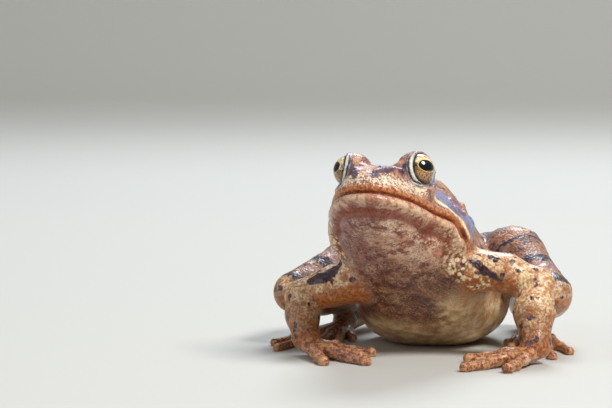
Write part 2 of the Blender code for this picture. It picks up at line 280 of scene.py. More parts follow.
class Loft:
    """A body of rounded sections along Y: (y, level, half width, rise, drop, taper)."""

    SQUARENESS = 2.56
    SAMPLES = 240
    BEYOND, LEAST_FALL = 50.0, 4.0
    NUDGE, DEEPEST, FARTHEST = 0.05, -9.0, 20.0

    def __init__(self, rows):
        y, level, width, up, down, taper = np.array(sorted(rows)).T
        up_ratio, down_ratio = (np.divide(width, h, out=np.zeros(len(y)), where=h > 0)
                                for h in (up, down))
        for ratio in (up_ratio, down_ratio):
            ratio[0] = ratio[0] or ratio[1]
            ratio[-1] = ratio[-1] or ratio[-2]
        columns = np.stack([level, width ** 2, up_ratio, down_ratio, taper])
        slope = np.gradient(columns, y, axis=1)
        self.y = np.linspace(y[0], y[-1], self.SAMPLES)
        k = np.clip(np.searchsorted(y, self.y) - 1, 0, len(y) - 2)
        gap = y[k + 1] - y[k]
        t = (self.y - y[k]) / gap
        self.columns = (columns[:, k] * (2 * t ** 3 - 3 * t ** 2 + 1)
                        + columns[:, k + 1] * (3 * t ** 2 - 2 * t ** 3)
                        + slope[:, k] * gap * (t ** 3 - 2 * t ** 2 + t)
                        + slope[:, k + 1] * gap * (t ** 3 - t ** 2))
        ends = [(self.columns[1, j] - self.columns[1, i]) / (self.y[j] - self.y[i])
                for i, j in ((0, 1), (-2, -1))]
        self.y = np.concatenate([[self.y[0] - self.BEYOND], self.y, [self.y[-1] + self.BEYOND]])
        self.columns = np.concatenate(
            [self.columns[:, :1], self.columns, self.columns[:, -1:]], axis=1)
        self.columns[1, 0] -= self.BEYOND * max(ends[0], self.LEAST_FALL)
        self.columns[1, -1] -= self.BEYOND * max(-ends[1], self.LEAST_FALL)

    def gauge(self, x, y, z):
        """Negative inside the body, but not yet a distance."""
        level, square, up, down, taper = (np.interp(y, self.y, c).astype(np.float32)
                                          for c in self.columns)
        above = (z - level) * np.where(z > level, up, down)
        span = np.sqrt(np.maximum(square, 1.0))
        across = x / (1.0 - taper * np.clip(above / span, 0.0, 1.0))
        power = self.SQUARENESS
        reach = (np.abs(across) ** power + np.abs(above) ** power) ** (2.0 / power)
        return reach - square

    def field(self, points):
        x, y, z = points.T
        here = self.gauge(x, y, z)
        slope = [(self.gauge(x + a, y + b, z + c) - here) / self.NUDGE
                 for a, b, c in self.NUDGE * np.eye(3)]
        steep = np.sqrt(sum(s * s for s in slope)) + 0.5
        return np.clip(here / steep, self.DEEPEST, self.FARTHEST)


# The trunk: chest low between the arms, the pelvis making the hump of the back, and the
# tail end tucked under.
trunk = Loft((
    (-33.5, 20.0, 0.0, 0.0, 0.0, 0.30),
    (-31.0, 19.5, 7.0, 5.0, 4.0, 0.30),
    (-27.0, 18.5, 10.8, 9.3, 6.5, 0.42),
    (-23.0, 16.5, 12.0, 13.6, 8.7, 0.50),
    (-19.0, 15.0, 12.5, 15.9, 10.5, 0.54),
    (-15.0, 13.5, 13.3, 17.6, 11.3, 0.60),
    (-11.0, 12.0, 14.0, 19.3, 11.6, 0.64),
    (-7.0, 10.8, 14.5, 20.5, 11.2, 0.66),
    (-3.0, 10.0, 14.7, 20.8, 10.6, 0.66),
    (1.0, 9.3, 14.2, 19.2, 9.9, 0.64),
    (5.0, 8.7, 12.7, 16.4, 9.2, 0.58),
    (9.0, 8.0, 10.2, 12.9, 8.1, 0.58),
    (13.0, 7.2, 7.4, 9.0, 6.2, 0.50),
    (15.8, 6.6, 5.0, 5.0, 3.8, 0.40),
    (17.6, 6.4, 0.0, 0.0, 0.0, 0.40),
))

# The head: broad and flat with a blunt snout, in its own frame with the snout along -Y and
# the mouth in the plane z = 0; turned to the frog's right, raised and a little tilted.
skull = Loft((
    (13.0, -1.5, 0.0, 0.0, 0.0, 0.36),
    (11.5, -1.0, 6.6, 4.2, 5.5, 0.36),
    (8.0, -0.3, 11.1, 7.2, 9.0, 0.36),
    (4.0, 0.0, 13.1, 8.5, 10.3, 0.36),
    (0.0, 0.0, 12.9, 8.5, 9.6, 0.36),
    (-4.0, 0.0, 11.5, 8.3, 7.8, 0.36),
    (-8.0, 0.0, 10.05, 7.8, 6.4, 0.36),
    (-12.0, 0.1, 8.8, 6.9, 5.6, 0.32),
    (-15.5, 0.3, 7.3, 5.8, 4.9, 0.28),
    (-18.5, 0.6, 5.6, 4.6, 4.1, 0.24),
    (-20.6, 0.9, 3.6, 3.0, 2.9, 0.20),
    (-21.7, 1.0, 1.6, 1.4, 1.4, 0.20),
))
head_frame = (
    Matrix.Translation((-2.0, -26.9, 24.3))
    @ Matrix.Rotation(math.radians(-8.0), 4, "Z")
    @ Matrix.Rotation(math.radians(-20.0), 4, "X")
    @ Matrix.Rotation(math.radians(-2.5), 4, "Y")
)
head_turn = np.array(head_frame.to_3x3(), np.float32)
head_place = np.array(head_frame.translation, np.float32)
HEAD_BALL = [(head_place, 22.5)]

# Places on the head, in its own frame and on its left side; the right side mirrors it.
EYE, EYE_RADIUS = np.array((6.3, -10.5, 7.05), np.float32), 3.0
EYE_AXIS = np.array((0.78, -0.60, 0.16), np.float32)
EYE_AXIS /= np.linalg.norm(EYE_AXIS)
LOOK_AXIS = (0.775, -0.615, 0.12)
DOME_GROWTH, DOME_ROOT, DOME_ROOT_RADII = 0.55, (-0.1, 1.4, -2.8), (2.75, 3.2)
LID_AXIS = np.array((0.927, -0.375, 0.08), np.float32)
LID_AXIS /= np.linalg.norm(LID_AXIS)
LID_FRONT = np.array((-0.28, -0.80, -0.53), np.float32)
LID_OPENING, LID_OPENING_AHEAD, SOCKET_TIGHT = 3.88, 3.6, 0.12
RIM_RISE, RIM_RADIUS, RIM_THIN, RIM_THICK = 0.92, 3.01, 0.17, 0.27
EARDRUM, EARDRUM_RADIUS = np.array((11.55, 0.2, 4.1), np.float32), 2.1
NOSTRIL = np.array((2.5, -18.1, 4.55), np.float32)
MOUTH_CORNER = ((10.4, -5.2, 1.3, 0.0), (12.2, -2.6, -0.2, 0.0), (13.0, 0.6, -2.4, 0.0))
SNOUT_RIDGE = ((4.7, -14.8, 6.1, 0.0), (4.0, -16.6, 5.5, 0.0), (2.7, -18.8, 4.7, 0.0))
CHEEK_HOLLOW = ((7.9, -14.0, 3.4, 0.0), (6.3, -16.6, 2.9, 0.0))
UNDER_JAW = ((9.4, -9.0, -5.2, 0.0), (11.2, -3.0, -7.0, 0.0), (12.0, 2.0, -8.6, 0.0))
EYE_FOLD = ((8.9, -6.6, 6.6, 0.0), (10.2, -2.8, 6.9, 0.0), (11.2, 0.8, 6.7, 0.0),
            (12.2, 3.6, 4.6, 0.0), (12.6, 4.6, 1.4, 0.0))


def in_head(points):
    """Points in the frame of the head."""
    return (points - head_place) @ head_turn


def mouth_level(forward):
    """Height of the mouth's line: level along the jaw, then falling to its corner."""
    return -0.5 * (1.0 - rise(forward, 9.0, 16.0)) - 2.3 * (1.0 - rise(forward, 0.5, 4.6))


def on_side(place, side):
    """A place or direction given for the head's left side, on either side."""
    return Vector((place[0] * side, place[1], place[2]))


def mirrored(local):
    """Points of the head's right side brought over to its left."""
    return np.stack([np.abs(local[:, 0]), local[:, 1], local[:, 2]], axis=1)


def rim_gap(reach):
    """Distance from the middle line of the lids' rim."""
    along = reach @ LID_AXIS
    out = np.sqrt(np.maximum(np.einsum("ij,ij->i", reach, reach) - along ** 2, 0.0))
    return np.sqrt((along - RIM_RISE) ** 2 + (out - RIM_RADIUS) ** 2)


def head_field(points):
    """The field of the head, and how high above its mouth plane each point lies."""
    local = in_head(points)
    half = mirrored(local)
    side, forward, height = half[:, 0], -half[:, 1], half[:, 2]
    field = skull.field(local)

    # Eyelids: a dome over each eyeball, standing clear of the flat brow.
    dome = length_of(half - (EYE - 0.5 * EYE_AXIS)) - (EYE_RADIUS + DOME_GROWTH)
    dome = melt(dome, bone(half, EYE - 1.2 * EYE_AXIS, EYE + DOME_ROOT, *DOME_ROOT_RADII), 0.8)
    field = melt(field, dome, 1.2)

    # Lips: a groove for the mouth, a thin upper lip, and a thick roll of lower lip with a
    # second groove under it.
    above = height - mouth_level(forward)
    lips = rise(forward, -0.6, 1.2) * rise(side + forward * 0.5, 3.0, 7.0)
    raised = lips * (
        0.22 * bell(above - 0.95, 0.6) - 0.60 * bell(above, 0.34)
        + 0.60 * bell(above + 1.5, 0.95) - 0.55 * bell(above + 3.05, 0.55)
    )
    # The fold of skin at the corner of the mouth.
    raised += 0.55 * bell(stroke(half, MOUTH_CORNER), 0.85)
    # Nostrils, each a pit in a low mound, and the ridge from there to the eye.
    nostril = length_of(half - NOSTRIL)
    raised += 0.28 * bell(nostril, 1.1) - 0.75 * bell(nostril, 0.42)
    raised += 0.6 * bell(stroke(half, SNOUT_RIDGE), 1.2)
    raised -= 0.35 * bell(stroke(half, CHEEK_HOLLOW), 1.4)
    # The brow between the eyes is flat and broad.
    brow = (1.0 - rise(side, 3.0, 5.0)) * rise(height, 3.0, 6.0) * (1.0 - rise(height, 7.4, 8.4))
    raised += 0.5 * brow * rise(forward, 7.0, 11.0) * rise(-forward, -19.5, -15.5)
    # Under the jaw the throat draws in from the lip's fold.
    raised -= 1.3 * bell(stroke(half, UNDER_JAW), 2.4)
    # Eardrum: a shallow disc in a raised ring, under the fold that runs back from the eye.
    drum = length_of(half - EARDRUM)
    raised += 0.38 * bell(drum - EARDRUM_RADIUS, 0.36) - 0.28 * (1.0 - rise(drum, 1.3, 2.0))
    raised += 0.55 * bell(stroke(half, EYE_FOLD), 0.8)
    field = field - raised

    # The eye's opening with its rolled rim, thicker in front, and the socket behind it.
    cup = length_of(half - (EYE + LID_OPENING_AHEAD * LID_AXIS)) - LID_OPENING
    field = carve(field, cup, 0.35)
    reach = half - EYE
    thickness = RIM_THIN + (RIM_THICK - RIM_THIN) * rise(reach @ LID_FRONT, -1.6, 0.8)
    field = melt(field, rim_gap(reach) - thickness, 0.40)
    socket = length_of(reach) - (EYE_RADIUS - SOCKET_TIGHT)
    return np.maximum(field, -socket), height


# Balls along the bones of the limbs: (x, y, z) of the left side, then the radius.
ARM = {
    LEFT: (((10.5, -23.0, 16.0), 4.1), ((17.0, -23.2, 15.6), 3.3), ((22.7, -23.4, 13.4), 3.1),
           ((22.6, -26.0, 9.0), 3.6), ((23.3, -29.0, 3.4), 2.6)),
    RIGHT: (((10.5, -23.0, 13.6), 4.2), ((15.5, -23.4, 12.2), 3.5), ((20.7, -24.0, 10.4), 2.9),
            ((20.2, -25.8, 7.2), 3.0), ((19.0, -28.0, 3.4), 2.4)),
}
LEG = {
    LEFT: (((5.5, 8.0, 13.4), 6.0), ((15.2, -1.5, 15.6), 6.1), ((23.9, -12.6, 10.6), 3.8),
           ((21.8, -1.0, 9.2), 4.3), ((14.2, 19.5, 4.8), 2.6), ((18.8, 4.5, 2.2), 2.1)),
    RIGHT: (((5.5, 8.0, 13.0), 5.9), ((15.4, -1.5, 13.8), 5.7), ((24.9, -12.6, 9.8), 3.8),
            ((22.4, -1.0, 8.8), 4.5), ((14.2, 19.5, 4.8), 2.6), ((18.8, 4.5, 2.2), 2.1)),
}


def limb(balls, side):
    """A limb's balls on its own side of the body."""
    return [(np.array((x * side, y, z), np.float32), radius) for (x, y, z), radius in balls]


# Digits: degrees from the heading of the hand or foot, and length from wrist or ankle. The
# hands turn inward; the long toes point forward and are joined by webs.
FINGERS = ((-40.0, 12.8), (-14.0, 12.4), (4.0, 17.4), (30.0, 13.8))
TOES = ((-34.0, 12.0), (-22.0, 17.5), (-11.0, 23.5), (0.0, 29.0), (10.0, 23.0))
HAND_HEADING = {LEFT: 226.0, RIGHT: -33.0}
FOOT_HEADING = {LEFT: -76.0, RIGHT: 256.0}
FINGER_RADIUS, PALM_ARCH = 1.05, 2.0
TOE_RADIUS, SOLE_ARCH = 0.85, 1.6
JOINTS, JOINT_SWELL = (0.12, 0.45, 0.75, 1.0), (1.12, 1.14, 1.10)
PALM_RADIUS = 1.35
WEBBED, WEB_LEVEL, WEB_HALF = 0.66, 0.45, 0.36
WEB_BITE, WEB_BITE_AHEAD = 0.62, 0.36


def digit(root, heading, length, thickness, arch):
    """Balls along a finger or toe that lies on the floor."""
    ahead = np.array((math.cos(math.radians(heading)), math.sin(math.radians(heading)), 0.0))
    heights = (arch, arch * 0.8, thickness * 0.8, thickness * 0.62)
    radii = (thickness * 1.25, thickness * 1.05, thickness * 0.9, thickness * 0.85)
    balls = []
    for share, height, radius in zip(JOINTS, heights, radii):
        at = np.array((root[0], root[1], 0.0)) + ahead * (length - radius) * share
        balls.append((np.array((at[0], at[1], height), np.float32), radius))
    return balls


def digit_field(points, balls):
    """A digit's stretches, its swollen joints and the pad at its tip."""
    field = chain(points, balls, 0.5)
    for (at, radius), swell in zip(balls[1:], JOINT_SWELL):
        field = melt(field, length_of(points - at) - radius * swell, 0.5)
    return field


def web_field(points, inner, outer):
    """A thin skin between two toes, its free edge drawn in between them."""
    root = (inner[0][0] + outer[0][0]) / 2
    tips = [toe[0][0] + (toe[3][0] - toe[0][0]) * WEBBED for toe in (inner, outer)]
    corners = [np.asarray(c[:2], np.float32) for c in (root, *tips)]
    if np.cross(corners[1] - corners[0], corners[2] - corners[0]) < 0:
        corners[1], corners[2] = corners[2], corners[1]
    flat = points[:, :2]
    inside = np.full(len(points), -NOWHERE, np.float32)
    for a, b in zip(corners, corners[1:] + corners[:1]):
        across = np.array((b[1] - a[1], a[0] - b[0])) / np.linalg.norm(b - a)
        inside = np.maximum(inside, (flat - a) @ across.astype(np.float32))
    middle = (corners[1] + corners[2]) / 2
    ahead = (middle - corners[0]) / np.linalg.norm(middle - corners[0])
    gap = np.linalg.norm(corners[2] - corners[1])
    bite_middle = (middle + ahead * gap * WEB_BITE_AHEAD).astype(np.float32)
    inside = np.maximum(inside, gap * WEB_BITE - length_of(flat - bite_middle))
    thick = np.abs(points[:, 2] - WEB_LEVEL) - WEB_HALF
    return np.maximum(inside, thick)


arms = {side: limb(ARM[side], side) for side in SIDES}
legs = {side: limb(LEG[side], side) for side in SIDES}
hands, feet = {}, {}
for side in SIDES:
    wrist, ankle = arms[side][-1][0], legs[side][-1][0]
    hands[side] = [digit(wrist, HAND_HEADING[side] + side * turn, length, FINGER_RADIUS, PALM_ARCH)
                   for turn, length in FINGERS]
    feet[side] = [digit(ankle, FOOT_HEADING[side] + side * turn, length, TOE_RADIUS, SOLE_ARCH)
                  for turn, length in TOES]


def hand_field(points, wrist, digits, reach):
    """A hand or foot: its digits, their roots in the palm and the flesh between the roots."""
    field = None
    for balls in digits:
        finger = digit_field(points, balls)
        field = finger if field is None else melt(field, finger, reach)
        field = melt(field, bone(points, wrist[0], balls[0][0], wrist[1], balls[0][1]), reach)
    knuckles = [(balls[0][0] * 2 + wrist[0]) / 3 for balls in digits]
    for a, b in zip(knuckles, knuckles[1:]):
        field = melt(field, bone(points, a, b, PALM_RADIUS, PALM_RADIUS), reach)
    return field


def around(points, balls, margin):
    """Which points lie near a set of balls, so that the rest need no work."""
    low = np.min([at - radius for at, radius in balls], axis=0) - margin
    high = np.max([at + radius for at, radius in balls], axis=0) + margin
    return np.all((points > low) & (points < high), axis=1)


def add(field, points, balls, form, reach, margin=2.5):
    """Melt a limb's form into the field, worked out only near its balls."""
    close = around(points, balls, margin)
    if close.any():
        field[close] = melt(field[close], form(points[close]), reach)


def back_fold(points):
    """Distance sideways from the nearer of the two folds along the back."""
    x, y = points[:, 0], points[:, 1]
    return np.abs(x) - (5.4 + 0.9 * np.sin((y + 26.0) * 0.11) + 0.25 * np.sin(y * 0.9 + x))


def frog_field(points):
    """The whole frog: trunk and head first, then the limbs of each side."""
    points = points.astype(np.float32)
    field = trunk.field(points)
    # Folds that run down the back on either side of the spine, from the eyes to the hips.
    x, y, z = points.T
    folded = bell(back_fold(points), 0.75) * rise(z, 18.0, 22.0)
    field -= ((0.42 + 0.14 * np.sin(y * 1.7)) * folded
              * rise(-y, -13.0, -7.0) * rise(y, -27.0, -20.0))
    # Loose folds across the chest, between the arms.
    chest = rise(-y, 19.0, 23.0) * bell(z - 14.0, 3.2) * bell(x, 9.0)
    field -= 0.16 * chest * np.sin(z * 2.5 + 0.18 * x + 1.2 * np.sin(x * 0.35))
    close = around(points, HEAD_BALL, 2.0)
    head, height = head_field(points[close])
    throat = 1.0 - rise(height, -4.5, 1.0)
    reach = 3.2 - 2.5 * throat
    crease = 0.35 * throat * bell(field[close] - head, 0.9)
    field[close] = melt(field[close], head, reach) + crease
    for side in SIDES:
        arm, leg = arms[side], legs[side]
        add(field, points, arm, lambda p: chain(p, arm, 1.2), 2.0)
        add(field, points, leg[:3], lambda p: chain(p, leg[:3], 2.0), 1.2)
        add(field, points, leg[2:], lambda p: chain(p, leg[2:], 1.2), 0.45)
        add(field, points, sum(hands[side], [arm[-1]]),
            lambda p: hand_field(p, arm[-1], hands[side], 0.5), 0.8)
        add(field, points, sum(feet[side], [leg[-1]]),
            lambda p: hand_field(p, leg[-1], feet[side], 0.4), 0.8)
        for inner, outer in zip(feet[side], feet[side][1:]):
            add(field, points, inner + outer, lambda p: web_field(p, inner, outer), 0.35, 1.5)
    return field


# --- Skin: the casting ---
# The field is read on a fine grid near the surface only, and the skin is laid through the
# cells it crosses, then relaxed and pressed back onto the sculpted form.
AXES = np.eye(3, dtype=int)
STEP = 0.40
BLOCK = 4
NEAR, FAR = 1.35, 5.0
MARGIN = 1.5
UNDER_FLOOR = -1.2
FACE_BACK, FACE_HALF_WIDTH, FACE_LOW = 4.5, 14.5, -4.6
RELAX_ROUNDS, RELAX_SHARE = (3), 0.5
LEAST_STEEP, PRESS_LIMIT = 0.25, 0.4


def eight(grid):
    """The values at the eight corners of every cell of a grid."""
    return [grid[i:i - 1 or None, j:j - 1 or None, k:k - 1 or None]
            for i in (0, 1) for j in (0, 1) for k in (0, 1)]


def cast(field, low, high, step):
    """Points and four-sided faces of the surface where the field is zero."""
    cells = np.ceil((high - low) / (step * BLOCK)).astype(int)
    ticks = [low[k] + step * BLOCK * np.arange(cells[k] + 1) for k in range(3)]
    coarse = np.stack(np.meshgrid(*ticks, indexing="ij"), axis=-1)
    rough = field(coarse.reshape(-1, 3)).reshape(coarse.shape[:3])
    corners = eight(rough)
    near = np.min(np.abs(corners), axis=0) < step * BLOCK * NEAR
    sign = np.where(np.mean(corners, axis=0) < 0, -FAR, FAR).astype(np.float32)

    def spread(blocks, fill):
        fine = blocks
        for axis in range(3):
            fine = np.repeat(fine, BLOCK, axis=axis)
        return np.pad(fine, ((0, 1),) * 3, constant_values=fill)

    values, wanted = spread(sign, FAR), spread(near, False)
    for axis in range(3):
        wanted |= np.roll(wanted, 1, axis=axis)
    spots = np.argwhere(wanted)
    values[wanted] = field(low + spots * step)

    inside = values < 0
    count = sum(corner.astype(np.int8) for corner in eight(inside))
    crossed = (count > 0) & (count < 8)
    cell = np.argwhere(crossed)
    number = np.full(crossed.shape, -1, np.int64)
    number[crossed] = np.arange(len(cell))
    total, hits = np.zeros((len(cell), 3)), np.zeros(len(cell))
    for axis, ahead in enumerate(AXES):
        for a in (0, 1):
            for b in (0, 1):
                offset = np.insert([a, b], axis, 0)
                v0 = values[tuple((cell + offset).T)]
                v1 = values[tuple((cell + offset + ahead).T)]
                cut = (v0 < 0) != (v1 < 0)
                t = np.where(cut, v0 / np.where(cut, v0 - v1, 1.0), 0.0)
                total += np.where(cut[:, None], offset + t[:, None] * ahead, 0.0)
                hits += cut
    points = low + (cell + total / hits[:, None]) * step
    quads = []
    for axis, ahead in enumerate(AXES):
        one, two = AXES[axis - 2], AXES[axis - 1]
        first = inside[tuple(slice(0, n - 1 if d else n) for n, d in zip(inside.shape, ahead))]
        second = inside[tuple(slice(1 if d else 0, n) for n, d in zip(inside.shape, ahead))]
        edge = np.argwhere(first != second)
        edge = edge[np.all((edge - one - two >= 0) | (ahead > 0), axis=1)]
        edge = edge[np.all(edge < np.array(crossed.shape), axis=1)]
        ring = np.stack([number[tuple((edge - a * one - b * two).T)]
                         for a, b in ((0, 0), (1, 0), (1, 1), (0, 1))], axis=1)
        flip = ~inside[tuple(edge.T)]
        ring[flip] = ring[flip][:, ::-1]
        quads.append(ring[np.all(ring >= 0, axis=1)])
    return points, np.concatenate(quads)


def slopes(field, points, nudge=0.04):
    """The field at the points and its direction of growth."""
    tetra = np.array(((1, 1, 1), (1, -1, -1), (-1, 1, -1), (-1, -1, 1)), float)
    reads = [field(points + nudge * t) for t in tetra]
    slope = sum(r[:, None] * t for r, t in zip(reads, tetra)) / (4 * nudge)
    return sum(reads) / 4, slope


def press(field, points):
    """Move each point onto the surface, by no more than one cell."""
    value, slope = slopes(field, points)
    steep = np.maximum(np.einsum("ij,ij->i", slope, slope), LEAST_STEEP)
    return points - slope * np.clip(value / steep, -PRESS_LIMIT, PRESS_LIMIT)[:, None]


def relax(points, edges, share):
    """Draw each point towards the middle of its neighbours."""
    total, hits = np.zeros_like(points), np.bincount(edges.ravel(), minlength=len(points))
    for axis in range(3):
        total[:, axis] = sum(np.bincount(here, points[there, axis], len(points))
                             for here, there in (edges.T, edges.T[::-1]))
    return points + share * (total / hits[:, None] - points)


low = np.array(cad_low) / MM - MARGIN
high = np.array(cad_high) / MM + MARGIN
low[2] = UNDER_FLOOR
points, quads = cast(frog_field, low, high, STEP)
skin_mesh = bpy.data.meshes.new("skin")
skin_mesh.from_pydata(points.tolist(), [], quads.tolist())

# The face and temples are cast twice as fine as the rest.
sideways, backward, height = in_head(points).T
fine_zone = (backward < FACE_BACK) & (np.abs(sideways) < FACE_HALF_WIDTH) & (height > FACE_LOW)
shape = bmesh.new()
shape.from_mesh(skin_mesh)
shape.verts.ensure_lookup_table()
edges = [e for e in shape.edges if fine_zone[e.verts[0].index] and fine_zone[e.verts[1].index]]
bmesh.ops.subdivide_edges(shape, edges=edges, cuts=1, use_grid_fill=True)
shape.to_mesh(skin_mesh)
shape.free()


def numbers(collection, name, width, kind=np.float64):
    """One property of every item of a mesh's collection, as an array."""
    values = np.empty(len(collection) * width, kind)
    collection.foreach_get(name, values)
    return values.reshape(-1, width) if width > 1 else values


points = numbers(skin_mesh.vertices, "co", 3)
edges = numbers(skin_mesh.edges, "vertices", 2, np.int32)
for _ in range(RELAX_ROUNDS):
    points = press(frog_field, relax(points, edges, RELAX_SHARE))
points[:, 2] = np.maximum(points[:, 2], 0.0)


def reshape_skin(points):
    """Give the skin these points; returns which way each one faces."""
    skin_mesh.vertices.foreach_set("co", points.ravel())
    skin_mesh.update()
    return numbers(skin_mesh.vertices, "normal", 3)


facing = reshape_skin(points)

# --- Skin: territories ---
# Every place on the skin knows which part of the body it belongs to and how far it lies
# from the lines that the markings follow. The paint reads these as named layers.
FAR_OFF = 9.0


def ball_field(balls):
    """Distance from a limb, worked out only near it."""
    near = around(points, balls, 3.0)
    field = np.full(len(points), FAR_OFF, np.float32)
    if near.any():
        field[near] = chain(points[near].astype(np.float32), balls, 1.0)
    return field


def nearest_of(groups):
    """Distance from the nearest of several limbs or digits."""
    return np.minimum.reduce([ball_field(balls) for balls in groups])


layers = {}
spots = points.astype(np.float32)
local = in_head(spots)
half = mirrored(local)
forward = -local[:, 1]
head_gap = np.full(len(points), FAR_OFF, np.float32)
close = around(spots, HEAD_BALL, 2.0)
head_gap[close] = head_field(spots[close])[0]
trunk_gap = trunk.field(spots)
arm_gap, leg_gap = nearest_of(arms.values()), nearest_of(legs.values())
digit_gap = nearest_of(sum([*hands.values(), *feet.values()], []))
layers["head"] = rise(np.minimum.reduce([trunk_gap, arm_gap, leg_gap]) - head_gap, -1.2, 1.2)
layers["arm"] = rise(np.minimum(trunk_gap, head_gap) - arm_gap, -1.6, 0.8)
layers["leg"] = rise(np.minimum(trunk_gap, arm_gap) - leg_gap, -1.0, 1.0)
layers["digits"] = rise(np.minimum(arm_gap, leg_gap) - digit_gap, -0.8, 0.8)
layers["above_mouth"] = local[:, 2] - mouth_level(forward) + 0.5 * np.maximum(0.5 - forward, 0.0)
layers["lips"] = layers["head"] * rise(forward, -0.9, 0.8)
layers["under"] = rise(-facing[:, 2], -0.25, 0.45)
layers["low"] = 1.0 - rise(points[:, 2], 1.0, 9.0)

# Brush lines of the markings, (x, y, z, half width): of the head in its own frame, then of
# the body. Those of the head and back serve both sides.
HEAD_LINES = {
    "stripe": ((7.4, -12.6, 3.3, 0.25), (8.6, -8.4, 2.9, 0.45), (9.8, -6.0, 2.3, 0.5),
               (11.5, -4.2, 1.2, 0.55), (12.9, -2.0, -0.5, 0.5), (13.4, 1.0, -2.6, 0.2)),
    "temple": ((8.7, -7.2, 5.7, 1.5), (9.8, -4.8, 5.2, 2.3), (11.0, -2.2, 4.0, 2.8),
               (12.2, 1.0, 2.6, 2.9), (13.0, 3.4, -0.2, 1.7)),
    "canthus": ((5.2, -13.4, 7.2, 0.6), (5.2, -14.6, 6.2, 0.6), (4.8, -15.8, 5.4, 0.3)),
    "brow": ((3.6, -15.4, 6.2, 0.5), (2.9, -18.4, 4.9, 1.0), (1.7, -20.9, 3.3, 0.6)),
    "snout": ((0.0, -21.6, 2.2, 0.7), (3.7, -20.1, 2.5, 0.9), (6.1, -16.1, 2.6, 1.0),
              (7.4, -12.0, 3.0, 1.0)),
    "jaw_specks": ((11.8, -3.2, -3.9, 1.6), (11.8, -0.9, -5.1, 1.8), (11.4, 1.5, -7.0, 2.2)),
    "mouth_end": ((11.4, -3.4, 0.2, 0.15), (12.5, -1.6, -1.6, 0.3), (12.8, 0.2, -3.0, 0.25)),
}
CHEVRON = ((0.0, -15.0, 0.0, 0.5), (1.6, -12.4, 0.0, 0.7), (4.0, -9.6, 0.0, 0.6))
ARM_STREAK = {
    LEFT: ((10.6, -28.0, 19.0, 0.4), (11.9, -27.0, 17.8, 0.7), (13.4, -26.9, 16.6, 0.75),
           (15.0, -27.0, 15.4, 0.65), (16.6, -26.8, 14.3, 0.3)),
    RIGHT: ((-13.5, -25.0, 16.8, 0.6), (-14.6, -25.8, 15.3, 1.0), (-16.0, -26.4, 14.2, 1.1),
            (-18.4, -26.0, 13.6, 0.9)),
}
SHOULDER_SPECKS = ((10.0, -29.5, 17.0, 2.6), (12.5, -26.5, 14.5, 2.2))
for name, line in HEAD_LINES.items():
    layers[name] = stroke(half, line)
flat = np.stack([np.abs(spots[:, 0]), spots[:, 1], np.zeros(len(spots), np.float32)], axis=1)
layers["chevron"] = stroke(flat, CHEVRON) + 6.0 * (1.0 - rise(spots[:, 2], 17.0, 20.0))
layers["streak"] = np.minimum(*(stroke(spots, ARM_STREAK[side]) for side in SIDES))
layers["shoulder_specks"] = stroke(spots, SHOULDER_SPECKS)
layers["drum"] = length_of(half - EARDRUM)
layers["lid"] = rim_gap(half - EYE)
layers["lid_front"] = rise((half - EYE) @ LID_FRONT, 0.2, 2.8)
on_back = (rise(points[:, 2], 18.0, 21.0) * rise(-points[:, 1], -14.0, -9.0)
           * rise(points[:, 1], -26.0, -22.0))
layers["back_fold"] = np.where(
    facing[:, 2] > 0.1, np.abs(back_fold(points)) + FAR_OFF * (1.0 - on_back), FAR_OFF)

# How far along the hind leg a place is, from hip to knee and on to the heel and ankle.
progress = np.zeros(len(points), np.float32)
nearest = np.full(len(points), NOWHERE, np.float32)
for side in SIDES:
    run = 0.0
    for (a, ra), (b, rb) in zip(legs[side], legs[side][1:]):
        gap, length = bone(spots, a, b, ra, rb), np.linalg.norm(b - a)
        t = np.clip((spots - a) @ (b - a) / length ** 2, 0.0, 1.0)
        progress = np.where(gap < nearest, run + t * length, progress)
        nearest = np.minimum(nearest, gap)
        run += length
layers["along_leg"] = progress

# --- Skin: relief ---
# Warts and grains stand out of the back, flanks and limbs; each is a low round mound.
WARTS, WART_SEED = 760, 11
WART_RADIUS, WART_GROWTH = 0.45, 0.75
WART_HEIGHT = (0.10, 0.24)
warty = (rise(points[:, 2], 3.0, 10.0) * (1.0 - 0.85 * layers["head"])
         * rise(facing[:, 2], -0.35, 0.3))
random = np.random.default_rng(WART_SEED)
tree = kdtree.KDTree(len(points))
for index, point in enumerate(points):
    tree.insert(point, index)
tree.balance()
raised = np.zeros(len(points))
for index in random.choice(len(points), WARTS, replace=False, p=warty / warty.sum()):
    size = WART_RADIUS + WART_GROWTH * random.random() ** 2
    tall = size * random.uniform(*WART_HEIGHT)
    for _, near, distance in tree.find_range(points[index], size):
        raised[near] = max(raised[near], tall * (1.0 - (distance / size) ** 2) ** 2)
points += facing * raised[:, None]
points[:, 2] = np.maximum(points[:, 2], 0.0)
reshape_skin(points * MM)
for name, values in layers.items():
    attribute = skin_mesh.attributes.new(name, "FLOAT", "POINT")
    attribute.data.foreach_set("value", values.astype(np.float32))
skin_mesh.shade_smooth()
skin = placed("skin", skin_mesh)

# --- Skin: paint ---
# Thin moist skin: tan to pinkish brown above with dark blotches and barred legs, a mauve
# throat speckled with cream and darker on the frog's right, partly with painted shade, a
# pale lip stripe and a bluish temple whose blue is partly painted sky sheen. Each colour
# is broken up by noises of four sizes.
p = Paint("skin")


def millimetres():
    """Places on the piece in its own axes, in millimetres."""
    return p.node("ShaderNodeVectorMath", {"operation": "SCALE"},
                  Vector=p.node("ShaderNodeTexCoord", output=3), Scale=1.0 / MM)


place = millimetres()


def layer(name):
    """A layer of the mesh, as the paint reads it."""
    return p.node("ShaderNodeAttribute", {"attribute_name": name}, output=2)


def coordinate(axis, at=place):
    return p.node("ShaderNodeSeparateXYZ", None, at, output=axis)


def noise(scale, detail=2.0, at=place, output=0, distortion=0.0):
    return p.node("ShaderNodeTexNoise", None, Vector=at, Scale=scale, Detail=detail,
                  Roughness=0.55, Distortion=distortion, output=output)


